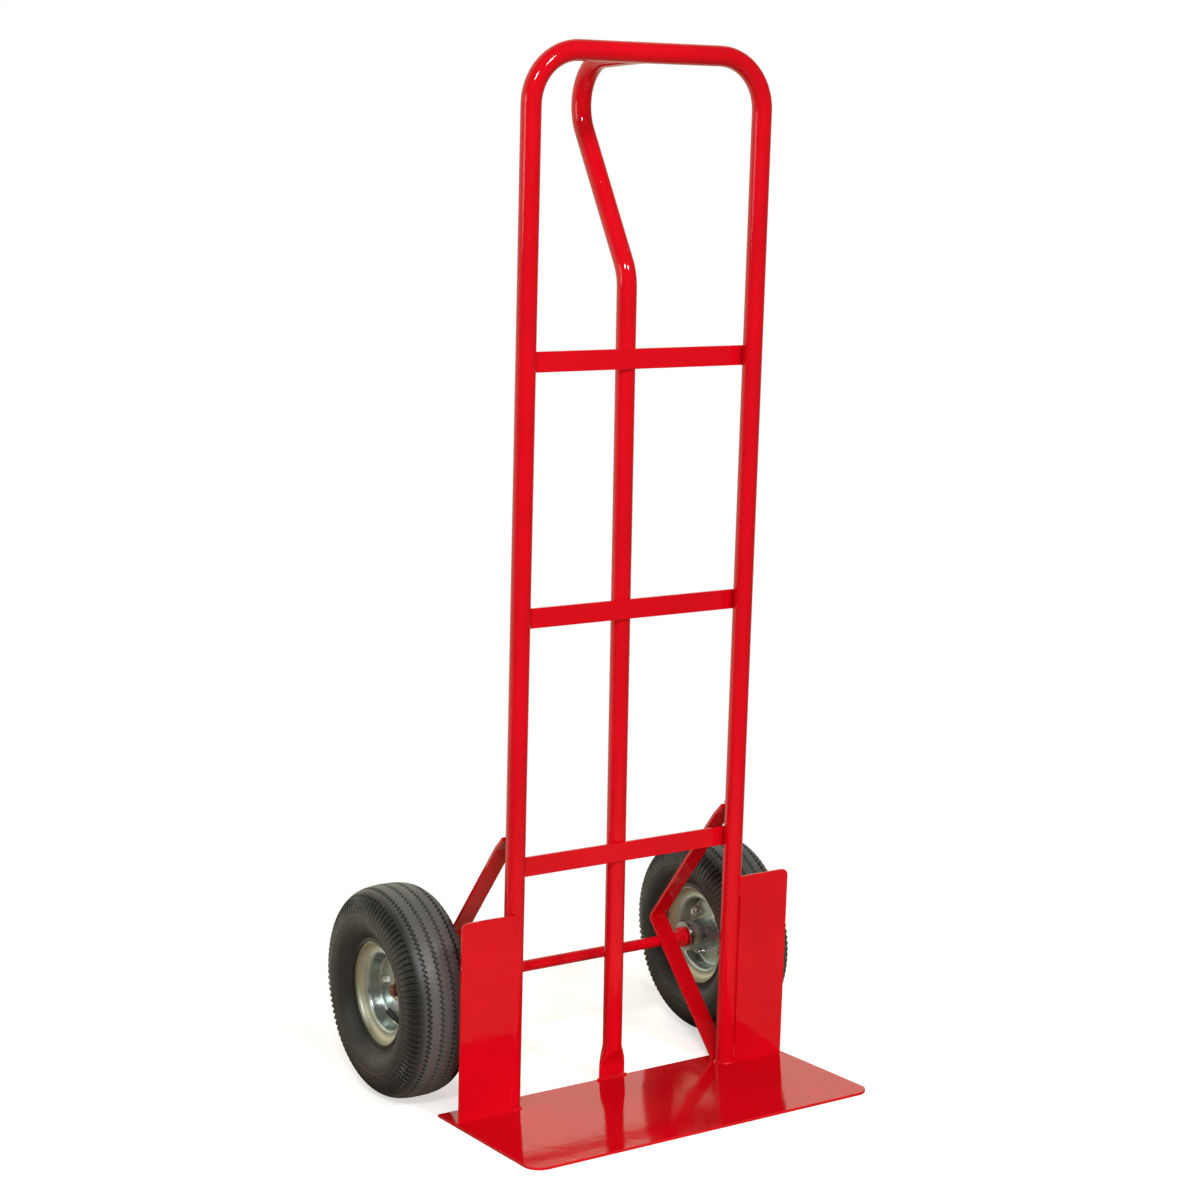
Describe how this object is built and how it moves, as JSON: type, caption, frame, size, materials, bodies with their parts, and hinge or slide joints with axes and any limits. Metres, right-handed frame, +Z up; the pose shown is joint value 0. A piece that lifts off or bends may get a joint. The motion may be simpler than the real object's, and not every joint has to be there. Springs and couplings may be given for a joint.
{
  "type": "hand truck",
  "caption": "Welded steel hand truck with a P-shaped grip, a flat toe plate, wheel guards and pneumatic wheels on a fixed axle.",
  "frame": {"origin": "on the floor, at the middle of the truck's bounding box", "axes": "+X along the axle, +Y from the load side to the wheels, +Z up"},
  "size_m": [0.5812, 0.486, 1.3163],
  "materials": {
    "red_paint": "glossy red powder coat",
    "zinc_rim": "bright zinc plate with a yellowish tint on the lips",
    "zinc_steel": "bright zinc plate",
    "bearing_steel": "ground steel",
    "tyre_rubber": "dark grey moulded rubber with a worn sheen",
    "black_rubber": "matt black rubber",
    "black_plastic": "satin black plastic"
  },
  "bodies": {
    "frame": {"frame_hoop": "red_paint", "centre_tube": "red_paint", "crossbar_lower": "red_paint", "crossbar_middle": "red_paint", "crossbar_upper": "red_paint", "toe_plate": "red_paint", "wing_left": "red_paint", "wing_right": "red_paint", "brace_left": "red_paint", "brace_right": "red_paint", "axle": "red_paint", "axle_collars": "red_paint", "retaining_washers": "zinc_steel", "split_pins": "zinc_steel", "bearing_inner_rings_left": "bearing_steel", "bearing_inner_rings_right": "bearing_steel"},
    "left_wheel": {"tyre_left": "tyre_rubber", "inner_tube_left": "black_rubber", "valve_stem_left": "black_rubber", "valve_cap_left": "black_plastic", "rim_outer_left": "zinc_rim", "rim_inner_left": "zinc_rim", "hub_left": "zinc_rim", "bearing_outer_rings_left": "bearing_steel", "bearing_balls_left": "bearing_steel", "bearing_seals_left": "black_rubber", "rim_bolts_left": "zinc_steel", "rim_washers_left": "zinc_steel", "rim_nuts_left": "zinc_steel"},
    "right_wheel": {"tyre_right": "tyre_rubber", "inner_tube_right": "black_rubber", "valve_stem_right": "black_rubber", "valve_cap_right": "black_plastic", "rim_outer_right": "zinc_rim", "rim_inner_right": "zinc_rim", "hub_right": "zinc_rim", "bearing_outer_rings_right": "bearing_steel", "bearing_balls_right": "bearing_steel", "bearing_seals_right": "black_rubber", "rim_bolts_right": "zinc_steel", "rim_washers_right": "zinc_steel", "rim_nuts_right": "zinc_steel"}
  },
  "joints": [
    {"name": "left_wheel_spin", "type": "hinge", "parent": "frame", "child": "left_wheel", "pos_m": [-0.2436, 0.10605, 0.137], "axis": [1, 0, 0], "continuous": true},
    {"name": "right_wheel_spin", "type": "hinge", "parent": "frame", "child": "right_wheel", "pos_m": [0.2436, 0.10605, 0.137], "axis": [1, 0, 0], "continuous": true}
  ]
}
